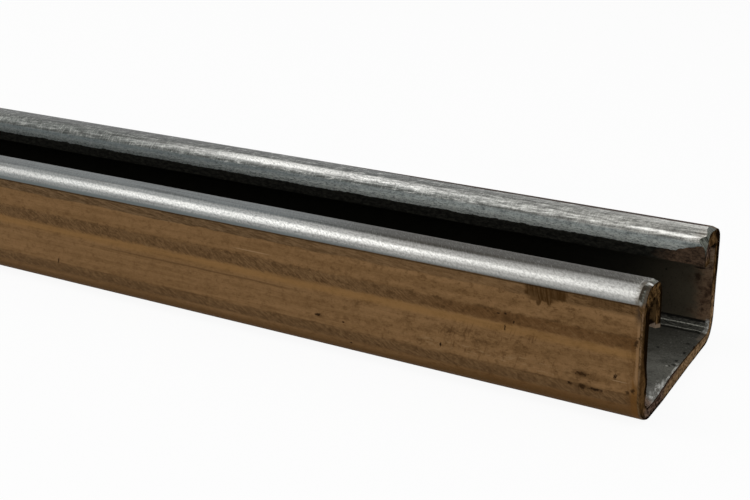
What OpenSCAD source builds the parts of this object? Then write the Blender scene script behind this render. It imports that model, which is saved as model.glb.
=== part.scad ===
// Strut channel: one length of plain (unpunched) shallow framing channel, cold rolled
// from pre-galvanised strip into a C that is open along its top, with in-turned lips.
// X runs along the length, Y across, Z up from the flat back of the channel.
// The origin is the centre of the channel's underside, halfway along.

/* [Section] */
// Width over the two side walls, mm
channel_w = 41.3; // [37:0.1:60]
// Height from the flat back to the top of the lips, mm
channel_h = 20.6; // [14:0.1:60]
// Thickness of the strip, mm
strip_t = 2.7; // [1.5:0.1:3.5]
// Inside radius of the two bends at the back, mm
back_bend_r = 2.0; // [0.5:0.1:5]
// Inside radius of the four bends of the lips, mm
lip_bend_r = 0.4; // [0.3:0.1:1.2]

/* [Lips] */
// Width of the continuous slot between the lips, mm
slot_w = 24.4; // [12:0.1:27]
// How far the lip on the -Y side is turned down, measured from the top, mm
near_lip_d = 7.1; // [4.5:0.1:12]
// The same for the lip on the +Y side, which the rolls left shorter, mm
far_lip_d = 5.3; // [4.5:0.1:12]

/* [Length] */
// Cut length of the piece, mm
channel_l = 1000; // [50:10:6000]

/* [Hidden] */
$fn = 64;
// outside radii of the bends
back_bend_outer = back_bend_r + strip_t;
lip_bend_outer = lip_bend_r + strip_t;
// a side wall's outer face, and the edge of the slot, from the middle
wall_y = channel_w / 2;
slot_y = slot_w / 2;
zinc_brown = [0.43, 0.33, 0.22];

// A quarter of a bent strip, its centre of bend at the origin, between +Y and +Z
module bend(r_in, r_out) {
    intersection() {
        difference() {
            circle(r = r_out);
            circle(r = r_in);
        }
        square(r_out);
    }
}

// Half of the section on the +Y side of the middle, drawn with Z up the page,
// its lip turned down by lip_d
module half_section(lip_d) {
    // back
    square([wall_y - back_bend_outer, strip_t]);
    // bend between the back and the side wall
    translate([wall_y - back_bend_outer, back_bend_outer])
        mirror([0, 1])
            bend(back_bend_r, back_bend_outer);
    // side wall
    translate([wall_y - strip_t, back_bend_outer])
        square([strip_t, channel_h - lip_bend_outer - back_bend_outer]);
    // bend between the side wall and the lip's top
    translate([wall_y - lip_bend_outer, channel_h - lip_bend_outer])
        bend(lip_bend_r, lip_bend_outer);
    // the lip's flat top
    translate([slot_y + lip_bend_outer, channel_h - strip_t])
        square([wall_y - slot_y - 2 * lip_bend_outer, strip_t]);
    // bend that turns the lip down into the channel
    translate([slot_y + lip_bend_outer, channel_h - lip_bend_outer])
        mirror([1, 0])
            bend(lip_bend_r, lip_bend_outer);
    // the turned-down leg of the lip
    translate([slot_y, channel_h - lip_d])
        square([strip_t, lip_d - lip_bend_outer]);
}

// The whole length of channel
module channel() {
    color(zinc_brown)
        translate([-channel_l / 2, 0, 0])
            rotate([90, 0, 90])
                linear_extrude(height = channel_l)
                    union() {
                        half_section(far_lip_d);
                        mirror([1, 0])
                            half_section(near_lip_d);
                    }
}

channel();
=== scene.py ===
import math

import bpy
from mathutils import Matrix, Vector, noise


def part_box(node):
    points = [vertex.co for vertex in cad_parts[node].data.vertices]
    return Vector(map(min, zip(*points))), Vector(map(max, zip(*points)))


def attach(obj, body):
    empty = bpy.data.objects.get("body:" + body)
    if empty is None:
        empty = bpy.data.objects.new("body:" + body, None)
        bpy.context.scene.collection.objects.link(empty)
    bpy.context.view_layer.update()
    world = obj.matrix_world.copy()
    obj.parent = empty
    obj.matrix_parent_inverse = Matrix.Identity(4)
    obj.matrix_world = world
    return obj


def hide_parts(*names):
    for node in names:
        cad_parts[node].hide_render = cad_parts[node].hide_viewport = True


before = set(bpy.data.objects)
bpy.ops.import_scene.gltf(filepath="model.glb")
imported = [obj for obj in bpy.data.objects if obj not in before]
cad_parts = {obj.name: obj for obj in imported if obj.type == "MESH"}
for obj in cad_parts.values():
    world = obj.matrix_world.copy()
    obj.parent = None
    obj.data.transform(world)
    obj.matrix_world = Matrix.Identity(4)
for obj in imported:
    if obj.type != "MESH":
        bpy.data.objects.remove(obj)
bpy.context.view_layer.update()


# --- The channel ---
# One length of shallow framing channel, cold rolled from zinc-coated steel strip 2.7 mm thick:
# a flat back, two side walls and two lips turned down into the slot, one a little shorter than
# the other. Sawn off, the saw running slightly out of square, the cut's outer edge filed.

MM = 0.001
channel_low, channel_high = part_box("channel")
WIDTH = (channel_high.y - channel_low.y) / MM
HEIGHT = (channel_high.z - channel_low.z) / MM
HALF_LENGTH = (channel_high.x - channel_low.x) / 2 / MM
STRIP = 2.7  # thickness
BACK_BEND = 4.7  # outside radius of the two bends at the back
LIP_BEND = 3.1  # outside radius of the four bends of the lips
SLOT = 24.4  # between the lips
NEAR_LIP = 7.1  # how far the lip on the -Y side is turned down
FAR_LIP = 5.3  # the same on the +Y side

NEAR_LEG = NEAR_LIP - LIP_BEND
FAR_LEG = FAR_LIP - LIP_BEND
LIP_FLAT = (WIDTH - SLOT) / 2 - 2 * LIP_BEND
WALL = HEIGHT - LIP_BEND - BACK_BEND
BACK = WIDTH - 2 * BACK_BEND
LIP_ARC = LIP_BEND * math.pi / 2
BACK_ARC = BACK_BEND * math.pi / 2

# The strip's path from the edge of the -Y lip round to the edge of the +Y lip, along its
# outer face: (length of a flat or 0 for a quarter bend, outside radius, number of steps)
PATH = [
    (NEAR_LEG, 0, 8),
    (0, LIP_BEND, 12),
    (LIP_FLAT, 0, 5),
    (0, LIP_BEND, 12),
    (WALL, 0, 14),
    (0, BACK_BEND, 10),
    (BACK, 0, 16),
    (0, BACK_BEND, 10),
    (WALL, 0, 10),
    (0, LIP_BEND, 12),
    (LIP_FLAT, 0, 5),
    (0, LIP_BEND, 12),
    (FAR_LEG, 0, 6),
]


def strip_columns():
    """(girth, y, z, out_y, out_z) of each lengthwise line of points on the outer face."""
    y, z, heading, girth = -SLOT / 2, HEIGHT - NEAR_LIP, math.pi / 2, 0.0
    columns = [(girth, y, z, 1.0, 0.0)]
    for flat, radius, steps in PATH:
        y0, z0, heading0, girth0 = y, z, heading, girth
        for k in range(1, steps + 1):
            share = k / steps
            if radius:
                heading = heading0 + math.pi / 2 * share
                y = y0 + radius * (math.sin(heading) - math.sin(heading0))
                z = z0 - radius * (math.cos(heading) - math.cos(heading0))
                girth = girth0 + radius * math.pi / 2 * share
            else:
                y = y0 + flat * math.cos(heading0) * share
                z = z0 + flat * math.sin(heading0) * share
                girth = girth0 + flat * share
            columns.append((girth, y, z, math.sin(heading), -math.cos(heading)))
    return columns


COLUMNS = strip_columns()
GIRTH = COLUMNS[-1][0]
NEAR_TOP = NEAR_LEG + 2 * LIP_ARC + LIP_FLAT  # where the -Y lip's outer bend meets the wall
NEAR_FOOT = NEAR_TOP + WALL
FAR_BEND = NEAR_FOOT + BACK_ARC + BACK
FAR_FOOT = FAR_BEND + BACK_ARC
FAR_TOP = FAR_FOOT + WALL
LAYERS = 6  # steps through the strip's thickness
FILED = 5  # steps across the filed edge
END_ZONE = 120  # how far from a cut the rows of points are set close
MIDDLE_ROWS = 150  # rows of points between the two end zones
LEAN_UP = 0.0438  # how far the cut leans back for each mm up
LEAN_ACROSS = 0.0135  # and for each mm across, towards the -Y side
LEAN_FADE = 60  # the length over which the lean is lost
SAW_LEAN = 0.73  # how far the middle of the cut stands back from its foremost corner
BURR_REACH = 2.0  # how far from the cut the burrs begin


def rough(seed, x, y=0.0):
    """Smooth noise between about -1 and 1."""
    return noise.noise(Vector((x + seed * 7.3, y + seed * 3.1, seed * 5.7)))


def between(value, *stops):
    """Reads a curve given as (value, height) stops."""
    for (v0, h0), (v1, h1) in zip(stops, stops[1:]):
        if value <= v1:
            share = max(0.0, value - v0) / (v1 - v0)
            return h0 + (h1 - h0) * share
    return stops[-1][1]


def filed_edge(girth, end):
    """Width along the length and depth of the filed bevel on the cut's outer edge."""
    width = between(
        girth,
        (0, 0.15), (4.5, 0.3), (7, 0.8), (10, 0.9), (14.5, 1.1), (17, 0.45), (NEAR_FOOT, 0.25),
        (NEAR_FOOT + 15, 0.15), (NEAR_FOOT + 24, 0.5), (FAR_BEND - 9, 1.0), (FAR_BEND - 3, 1.6),
        (FAR_BEND + 1, 2.0), (FAR_BEND + 4, 0.7), (FAR_FOOT, 0.15), (FAR_TOP, 0.15),
        (FAR_TOP + 2.5, 0.6), (FAR_TOP + 5, 1.1), (GIRTH - 7.3, 1.0), (GIRTH - 6.0, 0.65),
        (GIRTH - 5.1, 0.4), (GIRTH - 4.3, 1.4), (GIRTH - 3.7, 1.4), (GIRTH - 3.0, 0.5),
        (GIRTH - 2.3, 0.15), (GIRTH, 0.15),
    )
    width *= 1 + 0.16 * rough(3 + end, girth * 0.7) + 0.10 * rough(5 + end, girth * 2.3)
    return width, width * 0.34


def inner_bevel(girth, end):
    """The cut's inside edge: broken back where the floor meets the -Y wall, burred above it."""
    depth = between(
        girth,
        (NEAR_FOOT - 7, 0.0), (NEAR_FOOT - 4, -0.3), (NEAR_FOOT - 1, -0.55),
        (NEAR_FOOT + 1.5, -0.35), (NEAR_FOOT + 3.6, 0.6), (NEAR_FOOT + 7.0, 1.0),
        (NEAR_FOOT + 11, 0.8), (NEAR_FOOT + 15, 0.3), (NEAR_FOOT + 18, 0.10), (FAR_BEND - 3, 0.08),
        (FAR_BEND + 2, 0.35), (FAR_FOOT - 1, 0.3), (FAR_FOOT, 0.0),
    )
    return depth * (1 + 0.6 * rough(14 + end, girth * 0.7) + 0.5 * rough(15, girth * 2.1))


def proud(y, z):
    """How far the cut stands out at the foot of the -Y wall, where the saw broke through."""
    across = between(y, (-20.6, 0.0), (-16, 0.30), (-10, 0.28), (-2, 0.12), (6, 0.0))
    return across * max(0.0, 1 - z / 9)


def surface_point(column, depth, x, end, from_cut):
    """A point of the strip; depth is 0 on the outer face and 1 on the inner face."""
    girth, y, z, out_y, out_z = column
    # rolled strip is never quite flat
    wave = 0.03 * rough(21, x / 55, girth / 7) + 0.010 * rough(22, x / 8, girth / 3)
    inward = STRIP * depth - wave
    # the slit edges of the lips run a little ragged
    edge = max(0.0, 1 - girth / NEAR_LEG)
    if girth > GIRTH - FAR_LEG:
        edge = (GIRTH - girth) / FAR_LEG - 1
    slide = edge * (0.07 * rough(31, x / 4) + 0.05 * rough(32, x / 0.9))
    # at the cut: the broken inside edge, and burrs under the two lips and out from the +Y wall
    if from_cut < BURR_REACH:
        rise = (1 - from_cut / BURR_REACH) ** 2
        inward -= inner_bevel(girth, end) * max(0.0, 1 - from_cut / 1.4) ** 1.3 * depth ** 3
        if girth < NEAR_LEG:
            hang = rise * edge
            slide += (0.95 - 0.75 * depth) * hang
            inward -= 0.15 * hang * (1 - depth)
        elif edge < 0:
            slide += 0.25 * rise * edge
        elif FAR_FOOT < girth < FAR_TOP + 4:
            burr = between(
                girth,
                (FAR_FOOT, 0.0), (FAR_TOP - 6, 0.12), (FAR_TOP - 4, 0.38), (FAR_TOP + 1, 0.36),
                (FAR_TOP + 4, 0.0),
            )
            inward -= burr * rise * (1 + 0.4 * rough(16, girth * 0.8)) * (1 - depth)
    # slide runs down the leg of either lip, which stands upright
    down = math.copysign(slide, slide * edge) if edge else 0.0
    return y - out_y * inward, z - out_z * inward - down


def distances_from_cut(first, growth):
    """Where the rows of points lie, closest together by the cut."""
    distances, d, step = [], 0.0, first
    while d < END_ZONE:
        d += step
        step = min(step * growth, 3.2)
        distances.append(d)
    return distances


def ring_places():
    """(column, layer) round the whole section: outer face, one lip's edge, inner face, back."""
    last = len(COLUMNS) - 1
    ring = [(c, 0) for c in range(last)]
    ring += [(last, k) for k in range(LAYERS)]
    ring += [(c, LAYERS) for c in range(last, 0, -1)]
    ring += [(0, k) for k in range(LAYERS, 0, -1)]
    return ring


RING = ring_places()
OUTSIDE, SAWN, FILED_EDGE, INSIDE = range(4)  # the finishes, in the order they are laid on below


def end_rows(end, distances):
    """Rows of points round the strip, from the cut inwards."""
    rows = []
    for row in range(FILED + 1 + len(distances)):
        points = []
        for c, layer in RING:
            depth = layer / LAYERS
            width, sunk = filed_edge(COLUMNS[c][0], end) if layer == 0 else (0.08, 0.0)
            if row <= FILED:
                d = width * row / FILED
                sunk *= 1 - row / FILED
                if 0 < row < FILED:
                    sunk += 0.012 * rough(41, COLUMNS[c][0] * 4 + row * 0.5)
            else:
                reach = distances[row - FILED - 1]
                d = reach + width * max(0.0, 1 - reach / 5)
                sunk = 0.0
            y, z = surface_point(COLUMNS[c], depth + sunk / STRIP, end * (HALF_LENGTH - d), end, d)
            lean = (LEAN_UP * z + LEAN_ACROSS * (WIDTH / 2 - y)) * max(0.0, 1 - d / LEAN_FADE)
            lean -= proud(y, z) * max(0.0, 1 - d / 8)
            points.append((end * (HALF_LENGTH - d - lean), y, z, COLUMNS[c][0], depth, d))
        rows.append(points)
    return rows


def channel_mesh():
    """The whole channel as one closed skin, from the +X cut to the -X one."""
    near = end_rows(1, distances_from_cut(0.2, 1.05))
    far = end_rows(-1, distances_from_cut(0.4, 1.1))
    start, stop = near[-1][0][0], far[-1][0][0]
    middle = []
    for k in range(1, MIDDLE_ROWS):
        x = start + (stop - start) * k / MIDDLE_ROWS
        row = []
        for c, layer in RING:
            y, z = surface_point(COLUMNS[c], layer / LAYERS, x, 0, END_ZONE)
            row.append((x, y, z, COLUMNS[c][0], layer / LAYERS, END_ZONE))
        middle.append(row)
    rows = near + middle + far[::-1]

    ring, outer = len(RING), len(COLUMNS)
    points = [p for row in rows for p in row]
    faces, finishes = [], []
    for r in range(len(rows) - 1):
        by_cut = min(r, len(rows) - 2 - r) < FILED
        for c in range(ring):
            d = (c + 1) % ring
            faces.append((r * ring + c, r * ring + d, (r + 1) * ring + d, (r + 1) * ring + c))
            finishes.append(INSIDE if c >= outer - 1 else FILED_EDGE if by_cut else OUTSIDE)
    # the sawn faces, laid out through the thickness
    number = {place: k for k, place in enumerate(RING)}
    for r, end in ((0, 1), (len(rows) - 1, -1)):
        grid = {place: r * ring + k for place, k in number.items()}
        for c in range(1, outer - 1):
            a, b = points[grid[c, 0]], points[grid[c, LAYERS]]
            for k in range(1, LAYERS):
                share = k / LAYERS
                girth = COLUMNS[c][0]
                scored = 0.10 * abs(rough(51 + end, girth * 1.3, k * 0.7))
                x, y, z = (a[i] + (b[i] - a[i]) * share for i in range(3))
                grid[c, k] = len(points)
                points.append((x - end * scored, y, z, girth, share, 0.0))
        for c in range(outer - 1):
            for k in range(LAYERS):
                corners = (grid[c, k], grid[c + 1, k], grid[c + 1, k + 1], grid[c, k + 1])
                faces.append(corners if end < 0 else corners[::-1])
                finishes.append(SAWN)

    mesh = bpy.data.meshes.new("channel")
    mesh.from_pydata([[v * MM for v in p[:3]] for p in points], [], faces)
    # where each point lies on the flat strip, in mm: from the cut, round the girth, and
    # through the thickness from 0 outside to 1 inside; and how far it is from the cut's edge
    place = mesh.attributes.new("strip", "FLOAT_VECTOR", "POINT")
    flat = [v for p in points for v in (HALF_LENGTH - SAW_LEAN - p[0], p[3], p[4])]
    place.data.foreach_set("vector", flat)
    reach = mesh.attributes.new("reach", "FLOAT", "POINT")
    reach.data.foreach_set("value", [p[5] for p in points])
    mesh.polygons.foreach_set("material_index", finishes)
    mesh.polygons.foreach_set("use_smooth", [True] * len(faces))
    mesh.set_sharp_from_angle(angle=math.radians(38))
    mesh.update()
    return mesh


channel = bpy.data.objects.new("channel_body", channel_mesh())
bpy.context.collection.objects.link(channel)
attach(channel, "root")
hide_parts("channel")


# The channel's finish: zinc coating with a painted highlight along the bends of the lips and dull
# grey beside them; the walls and back painted brown as a reflection of a brown floor, in long
# streaks with dull bands; painted shade inside, lighter towards the open end, with dust, dirt and
# stains; rust on the sawn ends, where the file left bare grey metal.


def tone(r, g, b):
    """A colour from its 0-255 screen values."""
    parts = [v / 255 for v in (r, g, b)]
    return (*(v / 12.92 if v <= 0.04045 else ((v + 0.055) / 1.055) ** 2.4 for v in parts), 1.0)


class Finish:
    """A material laid on in layers, each placed by where it lies on the flat strip."""

    def __init__(self, name):
        self.material = bpy.data.materials.new(name)
        self.material.use_nodes = True
        self.tree = self.material.node_tree
        self.shader = self.tree.nodes["Principled BSDF"]
        self.strip = self.add("Attribute", attribute_name="strip").outputs["Vector"]
        split = self.add("SeparateXYZ")
        self.join(self.strip, split.inputs[0])
        self.from_cut, self.girth, self.depth = split.outputs
        self.other = self.math("SUBTRACT", GIRTH, self.girth)
        self.reach = self.add("Attribute", attribute_name="reach").outputs["Fac"]

    def add(self, kind, **settings):
        made = self.tree.nodes.new("ShaderNode" + kind)
        for key, value in settings.items():
            setattr(made, key, value)
        return made

    def join(self, source, socket):
        if isinstance(source, (int, float, tuple)):
            socket.default_value = source
        else:
            self.tree.links.new(source, socket)

    def math(self, operation, *values):
        made = self.add("Math", operation=operation)
        for value, socket in zip(values, made.inputs):
            self.join(value, socket)
        return made.outputs[0]

    def times(self, *values):
        result = values[0]
        for value in values[1:]:
            result = self.math("MULTIPLY", result, value)
        return result

    def most(self, *values):
        result = values[0]
        for value in values[1:]:
            result = self.math("MAXIMUM", result, value)
        return result

    def fade(self, value, start, stop, low=0.0, high=1.0):
        """Goes smoothly from low at the start to high at the stop."""
        made = self.add("MapRange", interpolation_type="SMOOTHSTEP")
        for given, socket in zip((value, start, stop, low, high), made.inputs):
            self.join(given, socket)
        return made.outputs[0]

    def fall(self, value, start, stop):
        """1 up to the start, and 0 from the stop on."""
        return self.fade(value, start, stop, 1.0, 0.0)

    def by_side(self, near, far):
        """One number on the -Y half of the strip, another on the +Y half."""
        return self.fade(self.girth, 50, 51, near, far)

    def band(self, value, start, stop, soft):
        """1 between start and stop, with soft edges."""
        rise = self.fade(value, start - soft, start + soft)
        return self.times(rise, self.fall(value, stop - soft, stop + soft))

    def grain(
        self, along, across, shift=0.0, detail=3.0, roughness=0.55, turn=0.0, warp=0.0, through=9.0
    ):
        """Noise with features about `along` mm long and `across` mm wide, turned in degrees."""
        turned = self.add("Mapping")
        self.join(self.strip, turned.inputs["Vector"])
        turned.inputs["Rotation"].default_value = (0.0, 0.0, math.radians(turn))
        stretched = self.add("Mapping")
        self.join(turned.outputs[0], stretched.inputs["Vector"])
        stretched.inputs["Scale"].default_value = (1 / along, 1 / across, through)
        stretched.inputs["Location"].default_value = (shift * 3.7, shift * 1.9, shift * 2.3)
        pattern = self.add("TexNoise")
        self.join(stretched.outputs[0], pattern.inputs["Vector"])
        pattern.inputs["Scale"].default_value = 1.0
        pattern.inputs["Detail"].default_value = detail
        pattern.inputs["Roughness"].default_value = roughness
        pattern.inputs["Distortion"].default_value = warp
        return pattern.outputs["Fac"]

    def shifted(self, value, pattern, amount):
        """The value moved to and fro by a pattern, by `amount` mm in all."""
        return self.math("ADD", value, self.times(self.math("SUBTRACT", pattern, 0.5), amount))

    def over(self, under, colour, *masks):
        """A colour laid over another, as strongly as all the masks together say."""
        mask = self.times(*masks)
        mix = self.add("Mix", data_type="RGBA")
        self.join(mask, mix.inputs["Factor"])
        for given, socket in ((under, mix.inputs[6]), (colour, mix.inputs[7])):
            self.join(given, socket)
        return mix.outputs[2]

    def spots(self, *marks, ragged=None, depth=0.0, edge=0.6, through=20.0):
        """Small marks: (from the cut, round the girth, length, width) in mm.

        A pattern given as ragged breaks up their outlines, and through is how fast they end on
        either side of their depth in the strip.
        """
        found = []
        for from_cut, girth, long, wide in marks:
            shift = self.add("VectorMath", operation="SUBTRACT")
            self.join(self.strip, shift.inputs[0])
            shift.inputs[1].default_value = (from_cut, girth, depth)
            scale = self.add("VectorMath", operation="MULTIPLY")
            self.join(shift.outputs[0], scale.inputs[0])
            scale.inputs[1].default_value = (2 / long, 2 / wide, through)
            far = self.add("VectorMath", operation="LENGTH")
            self.join(scale.outputs[0], far.inputs[0])
            off = far.outputs["Value"]
            if ragged is not None:
                off = self.shifted(off, ragged, 2.6)
            found.append(self.fall(off, edge, 1.0))
        return self.most(*found)


def outside_finish():
    """The strip's outer face, which is also the lips' faces inside the slot."""
    f = Finish("weathered zinc strip with painted reflections")
    girth, other, from_cut = f.girth, f.other, f.from_cut
    coarse = f.grain(7, 2.2, 1, detail=5, roughness=0.62)
    speckle = f.grain(0.40, 0.25, 2, detail=3, roughness=0.75)
    streaks = f.grain(26, 1.1, 3, detail=5, warp=0.3)
    hairs = f.grain(9, 0.16, 4, detail=5, roughness=0.7)
    slant = f.grain(1.0, 0.20, 5, detail=4, roughness=0.75, turn=32)

    # dull zinc: warmer and darker by the -Y lip's end, lighter on the other lip
    brushed = f.grain(1.6, 0.14, 7, detail=4, roughness=0.7, turn=60)
    across = f.grain(0.35, 2.4, 26, detail=4, roughness=0.7, turn=8)
    rubbed = f.grain(0.8, 0.2, 27, detail=5, roughness=0.8)
    zinc = f.over(tone(60, 57, 51), tone(100, 105, 105), f.fade(from_cut, 36, 66))
    zinc = f.over(
        zinc, tone(112, 110, 103), f.fade(from_cut, 1.5, 6, 0.7, 0.0), f.fade(brushed, 0.4, 0.6)
    )
    # the flat of the +Y lip: worn light by the end, scored across, dashed along
    lip = f.over(tone(150, 149, 143), tone(92, 95, 92), f.fade(from_cut, 6, 60))
    lip = f.over(lip, tone(60, 62, 60), f.fade(from_cut, 40, 90), f.fade(other, 6.3, 7.8), 0.95)
    top = f.times(f.band(other, 6.6, 8.6, 0.5), f.fade(from_cut, 8, 18, 0.85, 0.0))
    lip = f.over(lip, tone(214, 213, 206), top)
    lip = f.over(lip, tone(40, 40, 37), f.fade(across, 0.5, 0.66), 0.4)
    lip = f.over(lip, tone(206, 207, 200), f.fade(across, 0.48, 0.34), 0.35)
    dashes = f.grain(3.0, 0.5, 43, detail=6, roughness=0.85, turn=-2)
    lip = f.over(lip, tone(44, 46, 43), f.fade(dashes, 0.5, 0.60), 0.68)
    lip = f.over(
        lip, tone(232, 232, 226), f.fade(dashes, 0.47, 0.38), f.fade(from_cut, 85, 118, 0.62, 0.28)
    )
    zinc = f.over(zinc, lip, f.by_side(0.0, 1.0))
    # both lips again: dull streaks, light and dark brushing
    zinc = f.over(zinc, tone(40, 39, 36), f.fade(f.grain(16, 0.5, 6, detail=5), 0.45, 0.66), 0.55)
    zinc = f.over(zinc, tone(150, 152, 148), f.fade(brushed, 0.52, 0.70), 0.4)
    zinc = f.over(zinc, tone(20, 20, 18), f.fade(brushed, 0.48, 0.32), 0.45)
    # bluish plates on the +Y lip's slot side, speckled and pitted
    patch = f.grain(0.9, 0.6, 8, detail=6, roughness=0.8)
    plates = f.over(tone(98, 103, 102), tone(148, 154, 151), f.fade(patch, 0.36, 0.64))
    plates = f.over(plates, tone(90, 97, 98), f.fade(from_cut, 45, 90, 0.0, 0.7))
    # a painted highlight along the plates' lower edge, broken up in patches
    plates = f.over(
        plates, tone(190, 194, 188), f.band(other, 1.4, 2.85, 0.4), f.fade(rubbed, 0.38, 0.56),
        f.fade(from_cut, 60, 110, 0.9, 0.4),
    )
    plates = f.over(plates, tone(66, 72, 69), f.fade(from_cut, 1.5, 5.5, 0.5, 0.0))
    plates = f.over(plates, tone(40, 42, 41), f.fade(speckle, 0.55, 0.66), 0.6)
    zinc = f.over(zinc, plates, f.band(f.shifted(other, patch, 0.4), 1.6, 3.6, 0.3))
    pits = f.fade(f.grain(0.42, 0.36, 9, detail=2), 0.68, 0.76)
    pits = f.most(
        pits,
        f.spots(
            (12.3, 2.9, 0.5, 0.5), (12.2, 3.3, 0.4, 0.3), (26.5, 2.8, 0.5, 0.4),
            (20.0, 2.6, 0.3, 0.8), (85.4, 2.5, 0.5, 0.8), (98.0, 2.4, 0.5, 0.7),
            (110.0, 2.8, 0.6, 0.8),
            ragged=patch,
        ),
    )
    zinc = f.over(zinc, tone(30, 31, 29), pits, f.band(other, 1.3, 6.5, 0.3), 0.85)

    # painted highlight along the outermost line of each bend, where the lamp overhead catches it
    glitter = f.grain(0.5, 0.26, 10, detail=3, roughness=0.8, turn=30)
    near_highlight_breakup = f.fade(f.grain(26, 1.1, 11, detail=4), 0.3, 0.62, 0.75, 1.0)
    crown = f.math("ADD", f.shifted(girth, brushed, 0.5), f.fade(from_cut, 25, 100, -0.1, 0.25))
    near_highlight = f.most(
        f.times(f.band(crown, 13.1, 14.35, 0.5), f.fade(from_cut, 20, 50, 0.84, 1.0)),
        f.times(f.band(crown, 12.2, 15.0, 0.35), f.fade(from_cut, 30, 100, 0.48, 0.34)),
    )
    near_highlight = f.most(
        near_highlight, f.times(f.band(crown, 11.9, 15.0, 0.6), f.fade(from_cut, 4, 30, 0.52, 0.0))
    )
    near_highlight_line = f.times(
        f.band(f.shifted(girth, rubbed, 0.3), 12.1, 12.35, 0.2), f.fade(from_cut, 20, 34, 0.3, 0.0)
    )
    near_highlight = f.most(f.times(near_highlight, f.fade(from_cut, 70, 125, 0.9, 0.6)), near_highlight_line)
    slot_highlight = f.times(f.band(girth, 5.4, 7.4, 0.9), 0.5)
    # on the other lip the painted highlight lies in one stretch, and in a thin line towards the
    # end
    wide = f.times(
        f.band(f.shifted(other, rubbed, 0.5), 4.6, 5.95, 0.35), f.fade(from_cut, 28, 60),
        f.fall(from_cut, 84, 122),
    )
    faint = f.times(
        f.band(other, 4.1, 6.2, 0.4), f.fade(from_cut, 100, 125, 0.26, 0.05),
        f.fade(from_cut, 5, 40, 0.2, 1.0),
    )
    line = f.times(
        f.band(f.shifted(other, rubbed, 0.7), 4.25, 4.75, 0.25), f.band(from_cut, 1.5, 13, 3)
    )
    torn_zinc = f.grain(3.5, 0.35, 12, detail=5, roughness=0.75, turn=-4)
    far_highlight_breakup = f.times(
        f.fade(torn_zinc, 0.38, 0.54, 0.45, 1.0), f.fade(rubbed, 0.36, 0.56, 0.45, 1.0),
        f.fade(dashes, 0.58, 0.5, 0.5, 1.0),
    )
    far_highlight_breakup = f.most(far_highlight_breakup, f.times(f.band(from_cut, 68, 98, 10), 0.85))
    bright = f.most(
        f.times(f.most(near_highlight, slot_highlight), near_highlight_breakup), f.times(f.most(wide, faint, line), far_highlight_breakup)
    )
    bright = f.times(bright, f.fade(glitter, 0.34, 0.60, f.fade(from_cut, 15, 60, 0.6, 0.42), 1.0))
    zinc = f.over(zinc, tone(246, 245, 240), bright)
    # two small painted glints near the cut
    zinc = f.over(
        zinc, tone(222, 221, 214),
        f.spots((2.2, 11.2, 0.35, 3.6), (1.6, 9.6, 0.9, 0.5), ragged=patch, edge=0.0), 0.35,
    )
    # a painted reflection in a bluish cast under the -Y lip's bright band, rust colour creeping in
    # at the end
    zinc = f.over(
        zinc, tone(104, 111, 111), f.band(girth, 14.8, 15.3, 0.2),
        f.fade(from_cut, 20, 90, 0.3, 0.9),
    )
    rosy = f.times(
        f.fall(f.shifted(from_cut, patch, 5.0), 0.5, 3.5), f.band(other, 3.8, 7.0, 0.6), 0.14
    )
    zinc = f.over(zinc, tone(132, 101, 74), rosy)
    # filings and rust smudged back from the filed edge of the -Y lip
    smudge = f.times(
        f.fall(f.shifted(f.reach, patch, 2.4), 0.9, 1.9), f.band(girth, 10.5, 15.6, 0.8)
    )
    zinc = f.over(zinc, tone(88, 80, 68), smudge, 0.75)

    # painted reflection of a brown floor: long streaks, cloudy patches, fine hairs
    patches = f.grain(3.0, 1.6, 13, detail=5, roughness=0.7)
    brown = f.over(tone(116, 87, 55), tone(136, 104, 69), f.fade(streaks, 0.3, 0.7))
    brown = f.over(brown, tone(132, 100, 66), f.fade(coarse, 0.5, 0.72), 0.6)
    brown = f.over(
        brown, tone(88, 63, 36), f.fade(patches, 0.50, 0.66), f.fade(from_cut, 20, 70, 0.5, 0.3)
    )
    brown = f.over(
        brown, tone(140, 109, 74), f.fade(patches, 0.46, 0.32), f.fade(from_cut, 20, 70, 0.3, 0.2)
    )
    mottle = f.grain(1.05, 0.8, 25, detail=5, roughness=0.7, warp=0.3)
    brown = f.over(
        brown, tone(80, 56, 30), f.fade(mottle, 0.5, 0.66), f.fade(from_cut, 20, 70, 0.58, 0.35)
    )
    brown = f.over(
        brown, tone(142, 110, 74), f.fade(mottle, 0.46, 0.3), f.fade(from_cut, 20, 70, 0.5, 0.35)
    )
    brown = f.over(
        brown, tone(84, 60, 35), f.fade(hairs, 0.52, 0.75), f.fade(from_cut, 15, 50, 0.3, 0.45)
    )
    brown = f.over(brown, tone(72, 50, 28), f.fade(speckle, 0.52, 0.78), 0.45)
    brown = f.over(brown, tone(146, 112, 74), f.fade(speckle, 0.46, 0.25), 0.40)
    # the light streak below the upper dull band
    brown = f.over(
        brown, tone(140, 104, 60),
        f.band(f.shifted(girth, mottle, 0.8), NEAR_TOP + 6.0, NEAR_TOP + 7.3, 0.5),
        f.fade(streaks, 0.3, 0.6, 0.25, 0.6),
    )
    thin = f.times(
        f.band(f.shifted(girth, coarse, 0.5), NEAR_TOP + 7.85, NEAR_TOP + 8.1, 0.12),
        f.band(from_cut, 57, 95, 6),
    )
    brown = f.over(brown, tone(84, 61, 36), thin, 0.6)
    # scuffs across the wall and light flakes low on it, by the end
    scuffs = f.fade(f.grain(0.5, 3.4, 44, detail=4, roughness=0.7, turn=14), 0.54, 0.66)
    zone = f.times(f.band(from_cut, 13, 34, 4), f.band(girth, 22.8, 28.6, 0.8))
    brown = f.over(brown, tone(78, 52, 28), scuffs, zone, 0.5)
    flakes = f.fade(f.grain(1.4, 0.45, 45, detail=4, roughness=0.7), 0.52, 0.62)
    brown = f.over(
        brown, tone(148, 120, 86), flakes, f.band(girth, 26.6, 28.5, 0.4),
        f.band(from_cut, 12, 36, 5), 0.5,
    )
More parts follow.
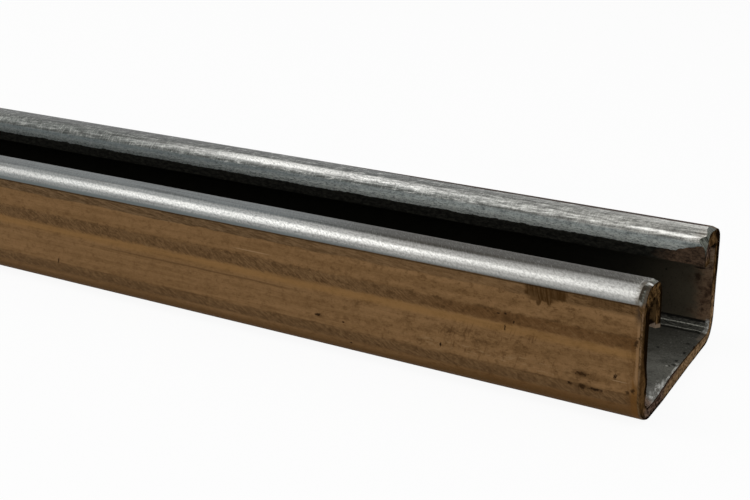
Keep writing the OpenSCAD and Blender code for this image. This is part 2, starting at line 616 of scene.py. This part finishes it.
    # dull bands in the painted reflection, their lower edges feathered on the slant
    feather = f.shifted(girth, slant, f.fade(from_cut, 20, 80, 0.9, 2.0))
    fade_out = f.fade(from_cut, 8, 40, 0.95, 1.0)
    upper = f.times(
        f.band(f.shifted(feather, mottle, 1.0), NEAR_TOP + 4.1, NEAR_TOP + 5.95, 0.3), fade_out
    )
    lower = f.band(
        f.shifted(f.shifted(girth, slant, 0.5), mottle, 0.4), NEAR_FOOT - 0.1, NEAR_FOOT + 1.6,
        0.35,
    )
    dull = f.over(tone(80, 58, 35), tone(118, 91, 61), f.fade(slant, 0.38, 0.66))
    dull = f.over(
        dull, tone(88, 57, 26), f.fade(from_cut, 20, 45, 0.6, 0.0), f.fall(girth, 24, 25)
    )
    dull = f.over(
        dull, tone(60, 41, 20), f.fade(mottle, 0.50, 0.64), f.fade(girth, 24, 26, 0.55, 0.32)
    )
    dull = f.over(dull, tone(128, 101, 68), f.fade(mottle, 0.44, 0.32), 0.42)
    brown = f.over(brown, dull, f.most(upper, lower), 0.85)
    crest = f.most(
        f.band(feather, NEAR_TOP + 3.9, NEAR_TOP + 4.25, 0.15),
        f.band(f.shifted(girth, slant, 0.4), NEAR_FOOT - 0.25, NEAR_FOOT, 0.1),
    )
    brown = f.over(brown, tone(58, 40, 20), crest, f.fade(coarse, 0.4, 0.6, 0.0, 0.4))
    # grey dust under the lip, in dark and light flecks
    flecks = f.grain(1.6, 0.26, 15, detail=5, roughness=0.75, turn=8)
    dusty = f.fall(
        f.shifted(girth, f.grain(6, 1.0, 14, detail=5), 1.2), NEAR_TOP + 0.75, NEAR_TOP + 1.05
    )
    dust = f.over(tone(66, 49, 30), tone(116, 93, 67), f.fade(flecks, 0.36, 0.68))
    brown = f.over(brown, dust, dusty, f.fade(from_cut, 15, 80, 0.4, 0.85))
    # painted shade: darker round the bend at the back, where it turns under, and under it
    brown = f.over(
        brown, tone(96, 66, 34), f.fade(girth, NEAR_FOOT + 1.2, NEAR_FOOT + 2.0),
        f.fade(from_cut, 15, 45, 0.7, 0.2),
    )
    under = f.times(
        f.fade(girth, NEAR_FOOT + 1.7, NEAR_FOOT + 3.6),
        f.fall(girth, NEAR_FOOT + 9, NEAR_FOOT + 14),
    )
    brown = f.over(brown, tone(92, 64, 29), under)
    brown = f.over(brown, tone(92, 66, 36), f.band(girth, NEAR_FOOT + 12, FAR_FOOT - 2, 2.0), 0.5)

    # darker and redder where the painted brown reaches over the +Y lip
    brown = f.over(brown, tone(58, 44, 38), f.band(other, 8.0, 11.0, 0.4))

    # two brushed dark smears by the end, the longer one run down in drips
    brushing = f.grain(0.3, 4.0, 17, detail=4, roughness=0.7, turn=-14)
    run = f.shifted(girth, brushing, 1.1)
    smear = f.times(
        f.band(f.shifted(from_cut, f.grain(3.0, 0.4, 24, detail=4), 0.9), 11.8, 18.1, 0.35),
        f.fall(run, NEAR_TOP + 0.75, NEAR_TOP + 1.1),
    )
    deeper = f.times(
        f.band(from_cut, 13.6, 17.5, 0.8), f.fall(run, NEAR_TOP + 1.3, NEAR_TOP + 1.7)
    )
    smear = f.most(
        smear, deeper, f.spots((15.9, NEAR_TOP + 1.3, 1.0, 2.3), (14.3, NEAR_TOP + 1.1, 0.9, 2.0))
    )
    second = f.times(f.band(from_cut, 3.6, 8.4, 0.8), f.fall(run, NEAR_TOP + 0.3, NEAR_TOP + 0.8))
    streaked = f.times(
        f.band(from_cut, 1.2, 11.5, 1.0), f.fall(run, NEAR_TOP + 0.6, NEAR_TOP + 1.0),
        f.fade(flecks, 0.46, 0.54, 0.0, 0.85),
    )
    smear = f.times(
        f.most(smear, f.times(second, 0.5), streaked), f.fade(brushing, 0.42, 0.58, 0.7, 1.0)
    )
    brown = f.over(brown, tone(60, 39, 14), smear)
    # pits and nicks
    grit = f.grain(0.35, 0.3, 18, detail=4, roughness=0.75)
    nicks = f.spots(
        (20.7, 22.6, 0.35, 1.2), (19.4, 21.5, 0.4, 0.7), (20.8, 20.45, 0.8, 0.4),
        (21.9, 20.6, 0.6, 0.3), (52.2, 27.2, 1.2, 0.7), (47.6, 27.5, 0.6, 0.4),
        (46.3, 30.9, 0.6, 0.5), (30.8, 27.5, 0.35, 0.9), (8.3, 28.9, 1.2, 1.1),
        (6.4, 28.9, 2.6, 0.6), (10.2, 28.8, 0.9, 0.6), (3.7, 26.4, 0.7, 1.2),
        (8.6, 27.0, 2.4, 0.8), (105.8, 28.3, 0.4, 1.0),
        ragged=grit, edge=0.35,
    )
    brown = f.over(brown, tone(34, 20, 6), nicks)
    halo = f.spots(
        (8.4, 28.9, 5.5, 1.4), (8.6, 27.1, 3.2, 1.6), (20.5, 21.2, 2.6, 2.2),
        (51.8, 27.3, 2.4, 1.2),
        ragged=mottle, edge=0.0,
    )
    brown = f.over(brown, tone(62, 42, 20), halo, 0.6)
    blotches = f.spots(
        (68.5, 19.9, 10.0, 0.9), (8.6, 27.4, 7.0, 3.6), (27, 25.2, 16, 3.2), ragged=mottle
    )
    brown = f.over(brown, tone(66, 45, 24), blotches, f.fade(mottle, 0.42, 0.58), 0.38)
    scratch = f.spots((65.0, 19.05, 9.0, 0.2), (3.0, 26.9, 3.0, 0.2))
    brown = f.over(brown, tone(160, 130, 96), scratch, 0.6)
    # the stained edge by the cut, grey with filings at its top
    filings = f.times(
        f.fall(f.shifted(f.reach, mottle, 1.6), 0.6, 1.5),
        f.fall(girth, NEAR_TOP + 0.5, NEAR_TOP + 3.4),
    )
    brown = f.over(brown, tone(56, 44, 34), filings, 0.8)
    strokes = f.times(
        f.fall(f.shifted(f.reach, mottle, 2.0), 0.8, 3.0),
        f.fade(girth, NEAR_TOP + 2, NEAR_TOP + 4), f.fade(brushing, 0.42, 0.58, 0.2, 0.8),
    )
    brown = f.over(brown, tone(90, 60, 28), strokes, 0.7)
    # a painted highlight along the wall's edge, just behind the filed bevel
    pale = f.times(
        f.band(f.shifted(f.reach, mottle, 0.5), 0.35, 0.8, 0.12),
        f.band(girth, NEAR_TOP + 2, NEAR_FOOT - 2, 1.0),
    )
    brown = f.over(brown, tone(146, 114, 80), pale, 0.65)
    foot = f.times(
        f.fall(f.shifted(f.reach, coarse, 0.8), 1.0, 1.4),
        f.fade(f.shifted(girth, f.reach, 2.0), NEAR_FOOT - 2.0, NEAR_FOOT - 1.0),
    )
    brown = f.over(brown, tone(108, 72, 30), foot, 0.6)
    rim = f.times(
        f.fall(f.shifted(f.reach, coarse, 0.6), 0.1, 0.45), f.fade(girth, NEAR_TOP, NEAR_TOP + 3)
    )
    brown = f.over(brown, tone(76, 50, 22), rim, 0.7)
    soaked = f.spots(
        (1.2, 20.7, 1.0, 1.9), (0.8, 20.0, 0.6, 1.0), (1.0, 27.9, 0.9, 1.2), (1.7, 28.3, 0.8, 0.8),
        ragged=grit, edge=0.2,
    )
    brown = f.over(brown, tone(44, 28, 10), soaked, 0.85)

    ragged = f.shifted(girth, f.grain(9, 1.4, 19, detail=4), 0.22)
    near_edge = f.fade(ragged, NEAR_TOP - 0.78, NEAR_TOP - 0.68)
    # the painted brown reflection ends with the wall, but by this end reaches over the +Y lip
    creep = f.math(
        "ADD", f.fade(from_cut, 50, 100, 0.0, 1.6), f.fade(from_cut, 35, 60, 8.62, 8.95)
    )
    far_edge = f.fade(f.math("SUBTRACT", f.shifted(other, coarse, 0.8), creep), 0.0, 0.25)
    reflected_brown = f.times(near_edge, far_edge)
    border = f.times(f.band(ragged, NEAR_TOP - 0.72, NEAR_TOP - 0.5, 0.08), 0.7)
    colour = f.over(zinc, brown, reflected_brown)
    colour = f.over(colour, tone(40, 27, 12), border)

    # painted shade on the lips' faces inside the slot, torn where the zinc begins, brown by the
    # end
    shade = f.over(
        tone(14, 14, 12), tone(42, 41, 36),
        f.fade(f.grain(0.9, 0.5, 20, detail=5, roughness=0.75), 0.38, 0.7),
    )
    by_end = f.fade(f.shifted(from_cut, coarse, 6.0), 5.0, 9.0, 0.9, 0.0)
    shade = f.over(
        shade, f.over(tone(34, 25, 18), tone(92, 73, 58), f.fade(patch, 0.34, 0.66)), by_end
    )
    torn = f.shifted(other, f.grain(3.0, 1.0, 21, detail=5, roughness=0.75), 1.0)
    torn = f.math("SUBTRACT", torn, f.fade(from_cut, 1.0, 6.0, 1.3, 0.0))
    near_torn = f.shifted(girth, coarse, 0.6)
    shaded = f.most(f.fall(torn, 1.75, 1.9), f.fall(near_torn, 3.4, 3.8))
    colour = f.over(colour, shade, shaded)

    f.join(colour, f.shader.inputs["Base Color"])
    matt = f.most(reflected_brown, shaded)
    shiny = f.fade(f.most(bright, f.fade(girth, 60, 61, 0.0, 0.6)), 0.0, 0.6, 0.2, 0.5)
    f.join(f.times(shiny, f.fade(matt, 0.0, 1.0, 1.0, 0.03)), f.shader.inputs["Metallic"])
    f.join(f.fade(matt, 0.0, 1.0, 0.38, 0.6), f.shader.inputs["Roughness"])
    f.shader.inputs["Specular IOR Level"].default_value = 0.03
    relief = f.math("ADD", f.times(glitter, f.fade(matt, 0.0, 1.0, 1.0, 0.4)), f.times(hairs, 0.3))
    bump = f.add("Bump")
    bump.inputs["Strength"].default_value = 0.4
    bump.inputs["Distance"].default_value = 0.0001
    f.join(relief, bump.inputs["Height"])
    f.join(bump.outputs[0], f.shader.inputs["Normal"])
    return f.material


def inside_finish():
    """The strip's inner face, and its slit edges under the lips."""
    f = Finish("dusty inside with painted light and shade")
    girth, from_cut = f.girth, f.from_cut
    patch = f.grain(0.9, 0.6, 8, detail=6, roughness=0.8)
    dust = f.grain(0.3, 0.4, 22, detail=4, roughness=0.75)
    clouds = f.grain(3.0, 2.0, 28, detail=5, roughness=0.6)
    # painted light at the open end over dark painted shade deeper in; dust lies on it, grey on the
    # floor and brown on the walls, where the brown is partly a painted reflection of the floor
    in_from_cut = f.shifted(from_cut, clouds, 6.0)
    inner = f.over(tone(15, 15, 10), tone(30, 29, 23), clouds)
    on_floor = f.band(girth, NEAR_FOOT + 2, FAR_FOOT - 1.0, 0.5)
    on_walls = f.fall(on_floor, 0.0, 1.0)
    lit_dusty_floor = f.over(
        tone(54, 53, 48), tone(86, 85, 79), f.fade(girth, NEAR_FOOT + 31, NEAR_FOOT + 21)
    )
    lit_dusty_floor = f.over(
        lit_dusty_floor, tone(118, 117, 111), f.fade(girth, NEAR_FOOT + 16, NEAR_FOOT + 8)
    )
    lit_dusty_floor = f.over(lit_dusty_floor, tone(34, 33, 30), f.fade(clouds, 0.45, 0.68), 0.5)
    lit_dusty_floor = f.over(lit_dusty_floor, tone(124, 123, 117), f.fade(dust, 0.54, 0.70), 0.3)
    lit_dusty_floor = f.over(lit_dusty_floor, tone(16, 15, 12), f.fade(dust, 0.46, 0.30), 0.55)
    inner = f.over(
        inner, f.over(tone(28, 27, 23), tone(46, 44, 37), clouds),
        f.fade(in_from_cut, 8.0, 30.0, 0.9, 0.0),
    )
    inner = f.over(inner, lit_dusty_floor, f.fall(in_from_cut, 1.0, 12.0), on_floor)
    inner = f.over(
        inner, f.over(tone(52, 48, 39), tone(78, 71, 58), clouds),
        f.fade(in_from_cut, 3.0, 15.0, 0.95, 0.0), on_walls,
    )
    wall_dirt_and_reflection = f.over(tone(60, 44, 32), tone(112, 90, 70), f.fade(clouds, 0.40, 0.60))
    wall_dirt_and_reflection = f.over(wall_dirt_and_reflection, tone(34, 18, 8), f.fade(patch, 0.50, 0.66), 0.7)
    inner = f.over(inner, wall_dirt_and_reflection, f.fall(in_from_cut, 0.5, 4.0), on_walls)
    # paler on the +Y wall by the cut, in painted light
    paler = f.times(
        f.fade(girth, FAR_FOOT + 5, FAR_FOOT + 11), f.fade(in_from_cut, 0.0, 4.0, 0.55, 0.0),
        f.fade(patch, 0.54, 0.42, 0.1, 1.0),
    )
    inner = f.over(inner, tone(158, 136, 112), paler)
    grit = f.times(f.fade(dust, 0.47, 0.30), f.fade(in_from_cut, 4, 24, 0.45, 0.2))
    inner = f.over(inner, tone(8, 7, 5), grit)
    # painted shade, black under the +Y lip at the cut
    shade_under_lip = f.times(
        f.band(girth, FAR_TOP - 0.6, FAR_TOP + 4, 0.25), f.fade(f.reach, 1.5, 3.0, 0.95, 0.0)
    )
    inner = f.over(inner, tone(10, 6, 2), shade_under_lip)
    # brown dirt caught behind the -Y lip
    caught = f.over(
        tone(24, 14, 5), tone(86, 66, 40), f.fade(f.grain(1.6, 1.4, 29, detail=4), 0.40, 0.56)
    )
    inner = f.over(inner, caught, f.fall(girth, 8.0, 9.5), f.fall(from_cut, 3.0, 9.0))
    # specks, stains and chips by the cut
    marks = f.spots(
        (0.4, NEAR_FOOT + 22.9, 1.0, 0.8), (0.9, NEAR_FOOT + 22.0, 0.7, 1.0),
        (0.4, NEAR_FOOT + 24.8, 0.7, 1.2), (0.2, NEAR_FOOT + 28.9, 0.6, 1.6),
        (0.8, NEAR_FOOT + 33.2, 1.0, 0.8), (4.5, NEAR_FOOT + 28.9, 0.8, 1.0),
        (2.0, FAR_FOOT + 8.5, 2.6, 0.5), (7.6, FAR_FOOT + 7.2, 0.5, 0.5),
        depth=1.0, edge=0.45,
    )
    inner = f.over(inner, tone(6, 5, 3), marks, f.fade(dust, 0.56, 0.44, 0.7, 0.95))
    stains = f.spots(
        (0.5, FAR_FOOT + 4.1, 1.2, 1.9), (0.9, FAR_FOOT + 1.4, 0.8, 1.1),
        (2.2, FAR_FOOT + 7.0, 1.5, 2.4),
        ragged=patch, depth=1.0, edge=0.1,
    )
    inner = f.over(inner, tone(26, 12, 4), stains, 0.8)
    chips = f.spots(
        (0.0, NEAR_FOOT + 23.6, 0.9, 0.5), (1.1, NEAR_FOOT + 21.9, 0.7, 0.5),
        (-0.2, NEAR_FOOT + 21.4, 0.5, 1.4),
        depth=1.0, edge=0.2,
    )
    inner = f.over(inner, tone(170, 169, 160), chips, 0.8)
    # painted reflections in light lines along the bend at the foot of the +Y wall, between dark
    # edges
    bend = f.over(
        tone(26, 26, 22), tone(92, 91, 84),
        f.fade(f.grain(0.9, 0.35, 47, detail=4, roughness=0.75), 0.42, 0.66),
    )
    inner = f.over(
        inner, bend, f.band(girth, FAR_BEND + 0.4, FAR_FOOT - 1.2, 0.3),
        f.fade(in_from_cut, 4, 30, 0.8, 0.2),
    )
    bend_reflections = f.most(
        f.band(f.shifted(girth, clouds, 0.4), FAR_BEND + 1.1, FAR_BEND + 1.4, 0.15),
        f.band(f.shifted(girth, clouds, 0.4), FAR_BEND + 3.7, FAR_BEND + 4.1, 0.15),
    )
    bend_reflections = f.times(bend_reflections, f.fade(dust, 0.38, 0.56, 0.15, 1.0), f.fade(from_cut, 2, 30, 1.0, 0.3))
    inner = f.over(inner, tone(168, 167, 156), bend_reflections)
    edges = f.most(
        f.band(f.shifted(girth, dust, 0.8), FAR_FOOT - 1.8, FAR_FOOT - 0.9, 0.3),
        f.band(f.shifted(girth, dust, 0.6), FAR_BEND - 0.5, FAR_BEND + 0.2, 0.3),
        f.spots((0.7, FAR_BEND + 0.6, 1.7, 2.0), ragged=dust, depth=1.0, edge=0.3),
    )
    inner = f.over(inner, tone(6, 5, 3), edges, 0.9)
    shadow = f.times(
        f.fall(f.shifted(f.reach, dust, 0.5), 0.12, 0.3),
        f.band(girth, NEAR_FOOT + 23, FAR_BEND - 3, 1.0), f.fade(clouds, 0.5, 0.6),
    )
    inner = f.over(inner, tone(16, 10, 5), shadow, 0.85)
    # bare metal where the inside edge of the cut broke away
    torn_edge = f.grain(0.7, 1.9, 23, detail=5, roughness=0.65)
    broken = f.fall(f.shifted(f.reach, torn_edge, 2.4), 0.45, 1.1)
    thread = f.times(
        f.band(girth, NEAR_FOOT + 14, NEAR_FOOT + 24, 0.5), f.fade(f.reach, 0.15, 0.4, 0.9, 0.0),
        f.fade(torn_edge, 0.38, 0.46),
    )
    bead = f.times(
        f.band(girth, FAR_BEND + 1.4, FAR_FOOT - 0.3, 0.4),
        f.fade(f.shifted(f.reach, patch, 0.9), 0.35, 0.75, 0.8, 0.0),
    )
    bare = f.most(
        f.times(broken, f.band(girth, NEAR_FOOT + 5.5, NEAR_FOOT + 16, 1.5)), thread, bead
    )
    metal = f.over(
        tone(104, 102, 96), tone(206, 206, 200),
        f.fade(f.grain(0.45, 1.3, 46, detail=4, roughness=0.75), 0.42, 0.62),
    )
    inner = f.over(inner, metal, bare, 0.9)
    # dirt in the corner at the foot of the -Y wall, and crumbled at the other bend
    corner = f.times(
        f.band(girth, NEAR_FOOT + 1.0, NEAR_FOOT + 9.0, 1.0),
        f.fall(f.shifted(f.reach, clouds, 2.0), 1.5, 2.3),
    )
    inner = f.over(
        inner, f.over(tone(56, 40, 30), tone(128, 106, 90), f.fade(patch, 0.42, 0.62)), corner,
        0.95,
    )
    crumbled = f.times(
        f.band(girth, FAR_BEND - 3.5, FAR_BEND + 1.0, 0.6),
        f.fall(f.shifted(f.reach, patch, 0.8), 0.5, 0.9),
    )
    inner = f.over(inner, tone(102, 92, 79), crumbled, f.fade(patch, 0.44, 0.56, 0.2, 0.5))
    # the burr turned up along the lower edge of the -Y lip, at the cut
    curl = f.fall(f.math("ADD", f.shifted(girth, patch, 0.3), f.times(f.reach, 0.7)), 0.75, 0.95)
    inner = f.over(inner, tone(138, 120, 103), curl)
    f.join(inner, f.shader.inputs["Base Color"])
    f.shader.inputs["Metallic"].default_value = 0.03
    f.shader.inputs["Roughness"].default_value = 0.6
    f.shader.inputs["Specular IOR Level"].default_value = 0.03
    bump = f.add("Bump")
    bump.inputs["Strength"].default_value = 0.3
    bump.inputs["Distance"].default_value = 0.0001
    f.join(dust, bump.inputs["Height"])
    f.join(bump.outputs[0], f.shader.inputs["Normal"])
    return f.material


def sawn_finish():
    """The two cuts through the strip."""
    f = Finish("sawn and rusted end")
    girth, depth = f.girth, f.depth
    # here the depth runs across the face, so the patterns are laid in it as well
    scored = f.grain(0.5, 0.7, 31, detail=6, roughness=0.8, through=4.0)
    blots = f.grain(1.5, 1.3, 32, detail=4, roughness=0.65, through=3.0)
    colour = f.over(tone(38, 26, 12), tone(102, 77, 47), f.fade(scored, 0.40, 0.60))
    colour = f.over(colour, tone(122, 95, 62), f.fade(blots, 0.50, 0.36), 0.5)
    # lighter along the floor, blotted dark
    on_floor = f.band(girth, NEAR_FOOT + 14, FAR_FOOT + 3.5, 3.0)
    colour = f.over(
        colour, f.over(tone(84, 62, 38), tone(160, 131, 98), f.fade(scored, 0.38, 0.62)), on_floor
    )
    colour = f.over(
        colour, tone(28, 18, 8), f.fade(blots, 0.51, 0.60), f.fade(on_floor, 0.0, 1.0, 0.9, 0.55)
    )
    # pinkish bare patches low on the floor's corner and at the foot of the +Y lip
    pink = f.most(
        f.band(girth, NEAR_FOOT + 5, NEAR_FOOT + 15, 2.0), f.band(girth, GIRTH - 4, GIRTH - 1, 0.8)
    )
    purple = f.over(tone(52, 40, 34), tone(124, 102, 90), f.fade(blots, 0.54, 0.40))
    colour = f.over(colour, purple, pink, 0.85)
    even = f.times(f.band(girth, NEAR_TOP + 4, NEAR_FOOT + 4, 2.0), 0.55)
    colour = f.over(colour, tone(88, 62, 34), even)
    # painted shade, black in the corners: inside the -Y wall, along the slot, outside the +Y wall
    ragged = f.shifted(depth, scored, 0.25)
    colour = f.over(colour, tone(38, 25, 11), f.band(girth, NEAR_TOP + 1, NEAR_FOOT - 3, 2.0), 0.5)
    wavy = f.shifted(ragged, f.grain(3.0, 2.6, 34, detail=2), 0.45)
    lower_down = f.math("SUBTRACT", wavy, f.fade(girth, NEAR_TOP + 4.5, NEAR_FOOT - 1, 0.22, 0.66))
    wall = f.times(
        f.fade(lower_down, 0.0, 0.16), f.band(girth, NEAR_TOP - 0.5, NEAR_FOOT + 1.5, 1.2)
    )
    outside = f.times(f.fall(wavy, 0.50, 0.66), f.band(girth, FAR_FOOT + 6.0, FAR_TOP + 4.5, 1.5))
    slot_side = f.times(f.fall(ragged, 0.22, 0.36), f.fall(girth, 5.5, 7.0))
    rims = f.most(f.fall(ragged, 0.04, 0.2), f.fade(ragged, 0.78, 0.92))
    rims = f.times(
        rims, f.fade(blots, 0.38, 0.52, 0.5, 0.95), f.fade(girth, FAR_TOP, FAR_TOP + 3, 1.0, 0.5)
    )
    foot_rim = f.times(
        f.fall(ragged, 0.10, 0.32),
        f.most(
            f.band(girth, FAR_BEND - 3, FAR_FOOT, 2.0),
            f.band(girth, NEAR_FOOT + 4, NEAR_FOOT + 14, 2.0),
        ),
    )
    rims = f.most(f.times(rims, f.fade(even, 0.0, 0.55, 1.0, 0.4)), foot_rim)
    inner_rim = f.times(
        f.fade(ragged, 0.62, 0.8), f.band(girth, NEAR_FOOT + 9, NEAR_FOOT + 23, 1.5)
    )
    colour = f.over(
        colour, f.over(tone(50, 34, 26), tone(104, 84, 72), f.fade(scored, 0.42, 0.58)), inner_rim,
        0.85,
    )
    colour = f.over(colour, tone(10, 5, 1), f.most(wall, outside, slot_side, rims), 0.92)
    holes = f.most(
        f.fade(f.grain(0.6, 0.7, 33, detail=3, roughness=0.6), 0.62, 0.68),
        f.spots(
            (0.0, GIRTH - 6.6, 60, 1.3), (0.0, GIRTH - 3.3, 60, 0.9), (0.0, 6.5, 60, 1.2),
            (0.0, 12.8, 60, 1.2),
            ragged=scored, depth=0.6, through=6.0,
        ),
    )
    colour = f.over(colour, tone(16, 9, 3), holes, 0.85)
    # the burr under the -Y lip, bright and curled
    burr = f.fall(f.shifted(girth, scored, 0.2), 0.4, 0.6)
    colour = f.over(colour, tone(114, 98, 82), burr)
    f.join(colour, f.shader.inputs["Base Color"])
    f.shader.inputs["Roughness"].default_value = 0.8
    f.shader.inputs["Specular IOR Level"].default_value = 0.0
    return f.material


def filed_finish():
    """The bevel round the outer edge of either cut."""
    f = Finish("filed edge")
    girth, reach = f.girth, f.reach
    strokes = f.grain(3.0, 0.24, 41, detail=4, roughness=0.75, turn=50)
    blots = f.grain(1.2, 1.0, 42, detail=4, roughness=0.65)
    # bare grey metal on the lips in file strokes, blotted and rusty on the -Y one
    colour = f.over(tone(54, 56, 51), tone(108, 111, 103), f.fade(strokes, 0.36, 0.66))
    colour = f.over(colour, tone(38, 40, 36), f.fade(strokes, 0.47, 0.38), 0.55)
    blotted = f.by_side(0.6, 0.2)
    colour = f.over(
        colour, tone(96, 78, 60), f.fade(f.shifted(reach, blots, 0.6), 0.2, 0.5, 0.75, 0.0),
        f.band(girth, 10.5, 17.0, 1.0),
    )
    colour = f.over(colour, tone(46, 46, 43), f.band(girth, 11.0, 17.0, 1.5), 0.55)
    colour = f.over(colour, tone(44, 36, 28), f.fade(blots, 0.48, 0.62), blotted)
    rusty = f.times(
        f.fade(f.shifted(reach, blots, 1.8), 0.4, 0.9, 0.15, 0.8), f.by_side(0.75, 0.0)
    )
    colour = f.over(
        colour, f.over(tone(50, 42, 32), tone(104, 95, 80), f.fade(blots, 0.55, 0.42)), rusty
    )
    # painted glints along the bevel
    glint = f.times(f.band(reach, 0.5, 0.9, 0.15), f.fade(blots, 0.5, 0.38))
    colour = f.over(colour, tone(186, 186, 180), glint, blotted, 0.6)
    colour = f.over(
        colour, tone(214, 214, 210),
        f.spots((1.0, 10.6, 1.0, 0.9), (0.3, 8.6, 0.5, 1.0), ragged=blots, edge=0.2),
    )
    # rust from the wall down, with a painted highlight along the arris
    below = f.band(f.shifted(girth, blots, 1.6), NEAR_TOP - 0.9, GIRTH - 9.6, 0.5)
    rust = f.over(tone(60, 43, 22), tone(104, 79, 50), f.fade(strokes, 0.35, 0.65))
    arris = f.times(
        f.band(reach, 0.14, 0.3, 0.06), f.fade(blots, 0.42, 0.55),
        f.fade(girth, NEAR_FOOT - 5, NEAR_FOOT, 0.6, 0.1),
    )
    rust = f.over(rust, tone(132, 106, 82), arris)
    underside = f.times(
        f.band(girth, NEAR_FOOT + 4, FAR_FOOT, 2.0), f.fade(f.shifted(reach, blots, 1.2), 0.5, 1.0)
    )
    rust = f.over(rust, tone(36, 24, 11), underside, 0.9)
    colour = f.over(colour, rust, below)
    # painted shade: the lips' legs and the +Y wall stay dark
    legs = f.most(f.fall(girth, 3.5, 6.0), f.fall(f.other, 1.5, 2.6))
    colour = f.over(colour, tone(34, 25, 16), legs)
    colour = f.over(colour, tone(22, 13, 5), f.band(girth, FAR_FOOT + 6, FAR_TOP + 3, 1.0), 0.9)
    f.join(colour, f.shader.inputs["Base Color"])
    matt = f.most(below, legs)
    f.join(f.fade(matt, 0.0, 1.0, 0.35, 0.0), f.shader.inputs["Metallic"])
    f.shader.inputs["Specular IOR Level"].default_value = 0.03
    f.shader.inputs["Roughness"].default_value = 0.45
    return f.material


for finish in (outside_finish(), sawn_finish(), filed_finish(), inside_finish()):
    channel.data.materials.append(finish)


# --- The studio ---
# A plain white floor under a plain white sky, one large soft lamp overhead and a little to the
# front, and the camera close to the sawn end.

FLOOR = 8  # half its side
floor_mesh = bpy.data.meshes.new("floor")
corners = [(-FLOOR, -FLOOR, 0), (FLOOR, -FLOOR, 0), (FLOOR, FLOOR, 0), (-FLOOR, FLOOR, 0)]
floor_mesh.from_pydata(corners, [], [(0, 1, 2, 3)])
floor = bpy.data.objects.new("floor", floor_mesh)
bpy.context.collection.objects.link(floor)


def seen_plainly(tree):
    """1 where the camera sees a thing, itself or in gloss or glass; 0 where it only lights."""
    path = tree.nodes.new("ShaderNodeLightPath")
    seen = path.outputs["Is Camera Ray"]
    for ray in ("Is Glossy Ray", "Is Transmission Ray"):
        either = tree.nodes.new("ShaderNodeMath")
        either.operation = "MAXIMUM"
        tree.links.new(seen, either.inputs[0])
        tree.links.new(path.outputs[ray], either.inputs[1])
        seen = either.outputs[0]
    return seen


# paper that is near white to look at and still takes the channel's shadow
paper = bpy.data.materials.new("white paper")
paper.use_nodes = True
nodes, links = paper.node_tree.nodes, paper.node_tree.links
nodes.clear()
matt = nodes.new("ShaderNodeBsdfDiffuse")
matt.inputs["Color"].default_value = (0.82, 0.82, 0.82, 1)
glow = nodes.new("ShaderNodeEmission")
glow.inputs["Strength"].default_value = 1.0
glow_share = nodes.new("ShaderNodeMath")
glow_share.operation = "MULTIPLY"
glow_share.inputs[1].default_value = 0.93
links.new(seen_plainly(paper.node_tree), glow_share.inputs[0])
both = nodes.new("ShaderNodeMixShader")
links.new(glow_share.outputs[0], both.inputs[0])
links.new(matt.outputs[0], both.inputs[1])
links.new(glow.outputs[0], both.inputs[2])
laid = nodes.new("ShaderNodeOutputMaterial")
links.new(both.outputs[0], laid.inputs["Surface"])
floor_mesh.materials.append(paper)

# a sky that looks white and lights the channel from all sides at about half of that
sky = bpy.data.worlds.new("sky")
bpy.context.scene.world = sky
sky.use_nodes = True
nodes, links = sky.node_tree.nodes, sky.node_tree.links
air = nodes["Background"]
air.inputs["Color"].default_value = (1, 1, 1, 1)
level = nodes.new("ShaderNodeMapRange")
level.inputs["To Min"].default_value = 0.55
level.inputs["To Max"].default_value = 1.0
links.new(seen_plainly(sky.node_tree), level.inputs["Value"])
links.new(level.outputs[0], air.inputs["Strength"])

lamp_data = bpy.data.lights.new("softbox", "AREA")
lamp_data.shape = "RECTANGLE"
lamp_data.size = 1.6
lamp_data.size_y = 0.5
lamp_data.energy = 4.5
lamp = bpy.data.objects.new("softbox", lamp_data)
bpy.context.collection.objects.link(lamp)
lamp.location = (0.0, -0.22, 0.8)
lamp.rotation_euler = (Vector((0, 0, 0)) - lamp.location).to_track_quat("-Z", "Y").to_euler()

# the camera's place from the middle of the sawn end, and its turn, dip and roll
CAMERA_AHEAD, CAMERA_ASIDE, CAMERA_UP = 0.03963, -0.17841, 0.07427
CAMERA_TURN, CAMERA_DIP, CAMERA_ROLL = 0.4803, 0.3026, 0.0419
camera_data = bpy.data.cameras.new("camera")
camera_data.sensor_width = 36
camera_data.lens = 58.97
camera_data.clip_start = 0.01
camera = bpy.data.objects.new("camera", camera_data)
bpy.context.collection.objects.link(camera)
sawn_end = channel_high.x - SAW_LEAN * MM
camera.matrix_world = (
    Matrix.Translation((sawn_end + CAMERA_AHEAD, CAMERA_ASIDE, CAMERA_UP))
    @ Matrix.Rotation(CAMERA_TURN, 4, "Z")
    @ Matrix.Rotation(math.pi / 2 - CAMERA_DIP, 4, "X")
    @ Matrix.Rotation(CAMERA_ROLL, 4, "Z")
)
bpy.context.scene.camera = camera
bpy.context.scene.view_settings.view_transform = "Standard"
